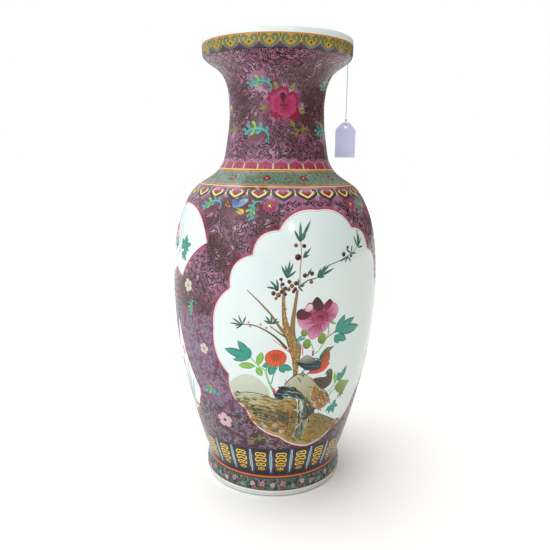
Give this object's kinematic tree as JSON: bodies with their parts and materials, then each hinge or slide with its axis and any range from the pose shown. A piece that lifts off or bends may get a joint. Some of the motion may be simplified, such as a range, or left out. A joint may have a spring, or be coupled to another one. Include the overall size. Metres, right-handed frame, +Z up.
{
  "type": "vase",
  "caption": "Tall porcelain baluster vase with a dish mouth and waisted neck, enamelled with bands, scrolls and bird-and-flower panels, with a strung ticket hanging from its lip.",
  "frame": {"origin": "centre of the foot's underside, on the surface that the vase stands on", "axes": "+Z up along the axis of the vase, towards the mouth; the main painted panel faces -Y; the ticket hangs on the +X side"},
  "size_m": [0.2846, 0.2846, 0.6072],
  "materials": {
    "enamelled_glaze": "overglaze enamels painted on a glossy white glaze",
    "white_glaze": "glossy white glaze with a faint grey-green tint",
    "dried_slip": "fired slip between two sections of the wall, matt",
    "cotton_thread": "twisted two-ply cotton, undyed",
    "clear_tape": "thin translucent adhesive tape, satin",
    "lavender_card": "lavender-blue ticket card, matt"
  },
  "bodies": {
    "vase": {"mouth_section": "white_glaze", "neck_section": "enamelled_glaze", "upper_body_section": "enamelled_glaze", "lower_body_section": "enamelled_glaze", "foot_section": "enamelled_glaze", "slip_seam_mouth": "dried_slip", "slip_seam_neck": "dried_slip", "slip_seam_belly": "dried_slip", "slip_seam_foot": "dried_slip", "thread_tape": "clear_tape", "thread_over_lip": "cotton_thread"},
    "thread": {"thread_hanging": "cotton_thread"},
    "loop": {"thread_loop": "cotton_thread"},
    "ticket": {"ticket_card": "lavender_card"}
  },
  "joints": [
    {"name": "thread_swing", "type": "hinge", "parent": "vase", "child": "thread", "pos_m": [0.09717, 0.02604, 0.6025], "axis": [0.2588, -0.9659, 0], "range_deg": [0, 60]},
    {"name": "ticket_turn", "type": "hinge", "parent": "thread", "child": "loop", "pos_m": [0.09717, 0.02604, 0.5076], "axis": [0, 0, 1], "range_deg": [-180, 180]},
    {"name": "ticket_sway", "type": "hinge", "parent": "loop", "child": "ticket", "pos_m": [0.09717, 0.02604, 0.4991], "axis": [0.9659, 0.2588, 0], "range_deg": [-30, 30]}
  ]
}
